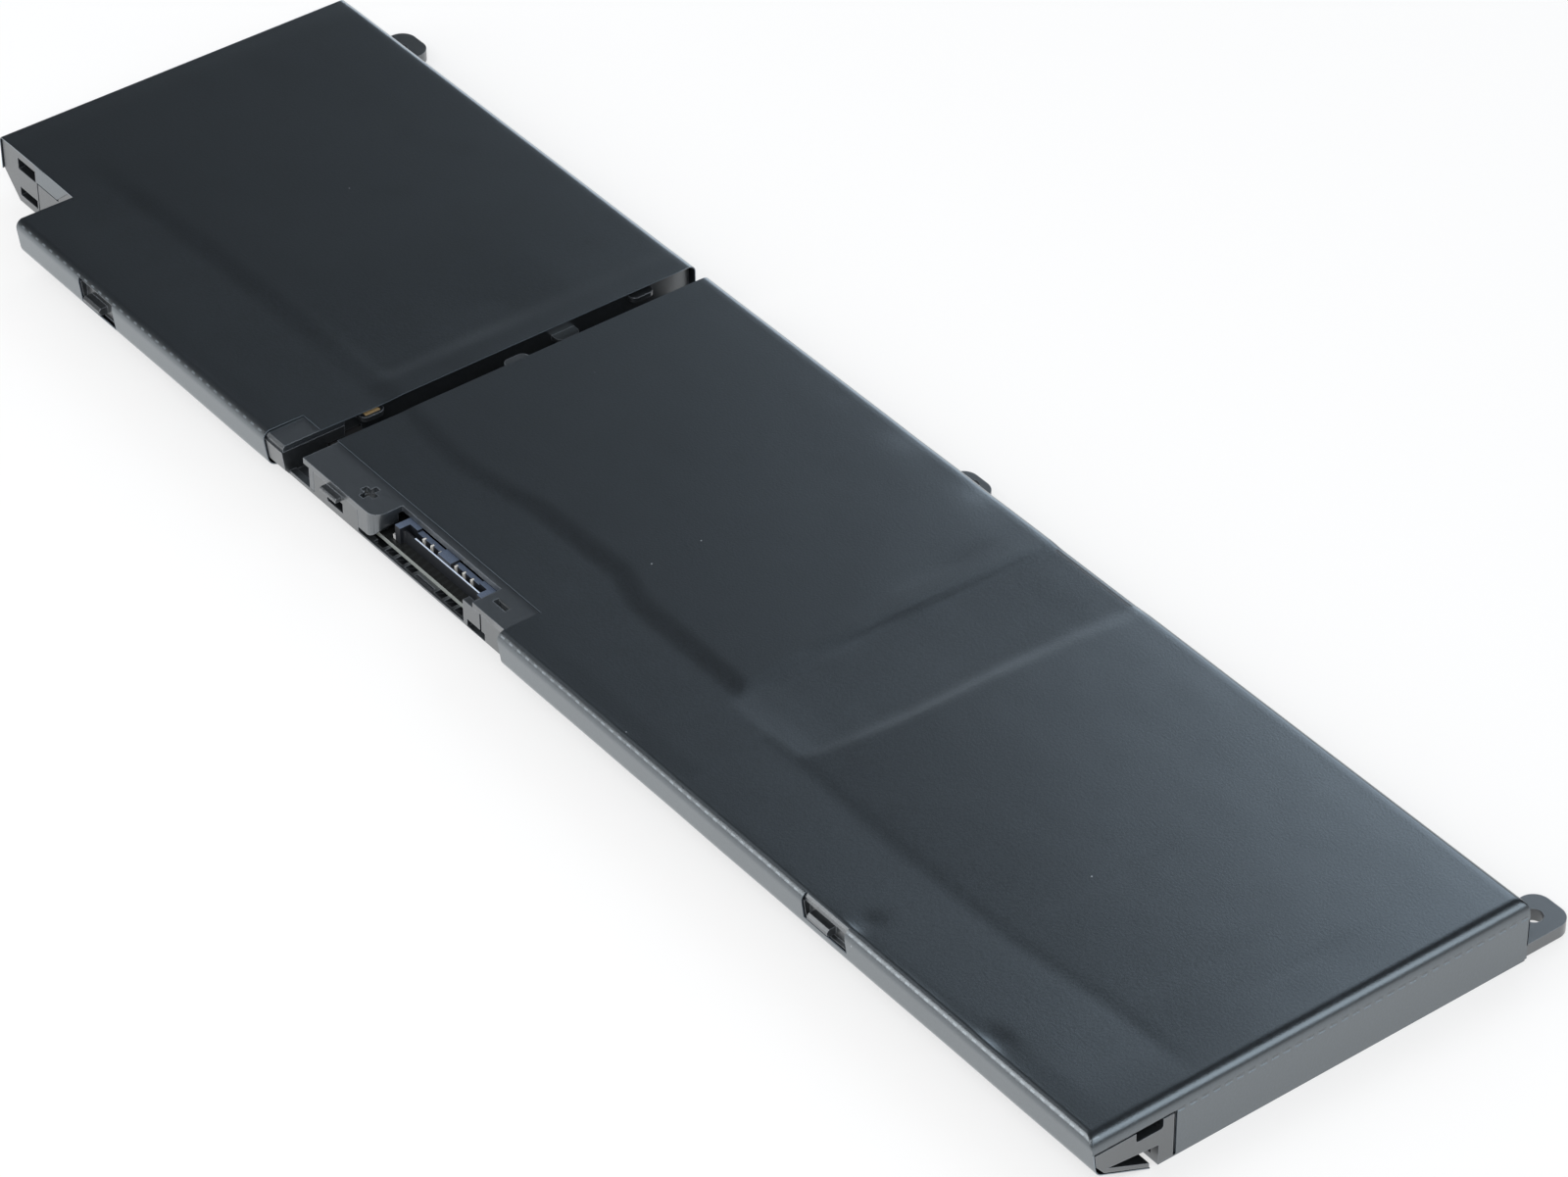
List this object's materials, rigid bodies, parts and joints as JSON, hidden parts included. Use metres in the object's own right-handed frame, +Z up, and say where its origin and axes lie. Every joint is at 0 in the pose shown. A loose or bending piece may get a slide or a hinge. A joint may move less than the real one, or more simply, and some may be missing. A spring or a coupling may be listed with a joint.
{
  "type": "laptop battery",
  "caption": "Flat notebook battery pack: pouch cells in a moulded tray under a dark skin film, with a board connector in the front edge and screw lugs along the back.",
  "frame": {"origin": "centre of the pack's outline, lugs and hooks included, on the underside", "axes": "+X along the pack towards the bare end corner, +Y from the connector edge to the lugs, +Z up out of the broad film face"},
  "size_m": [0.282, 0.0852, 0.0104],
  "materials": {
    "film": "satin skin film",
    "tray_plastic": "fine moulded texture",
    "cover_plastic": "fine moulded texture",
    "connector_plastic": "smooth moulded",
    "board": "black solder mask on glass epoxy",
    "contact_metal": "plated",
    "tinned_metal": "tinned",
    "component_black": "moulded package",
    "component_ceramic": "ceramic body",
    "nickel": "rolled strip",
    "tab_aluminium": "rolled foil",
    "pouch": "laminated pouch foil",
    "amber_tape": "polyimide tape",
    "black_tape": "insulating tape",
    "adhesive": "double-sided tape"
  },
  "bodies": {
    "root": {"main_frame": "tray_plastic", "left_channel_cover": "cover_plastic", "connector_cover": "cover_plastic", "circuit_board": "board", "connector_housing": "connector_plastic", "connector_contacts": "contact_metal", "connector_hold_downs": "tinned_metal", "gauge_chip": "component_black", "power_mosfets": "component_black", "chemical_fuse": "component_ceramic", "sense_resistor": "component_ceramic", "weld_pads": "nickel", "left_link": "nickel", "right_link": "nickel", "positive_strip": "nickel", "negative_strip": "nickel", "temperature_sensor": "component_black", "slot_tape": "black_tape", "edge_tape": "amber_tape", "film_left": "film", "film_right": "film", "bottom_film": "film", "cell_left": "pouch", "positive_tab_left": "tab_aluminium", "negative_tab_left": "nickel", "adhesive_pad_left": "adhesive", "cell_middle": "pouch", "positive_tab_middle": "tab_aluminium", "negative_tab_middle": "nickel", "adhesive_pad_middle": "adhesive", "cell_right": "pouch", "positive_tab_right": "tab_aluminium", "negative_tab_right": "nickel", "adhesive_pad_right": "adhesive"}
  },
  "joints": []
}
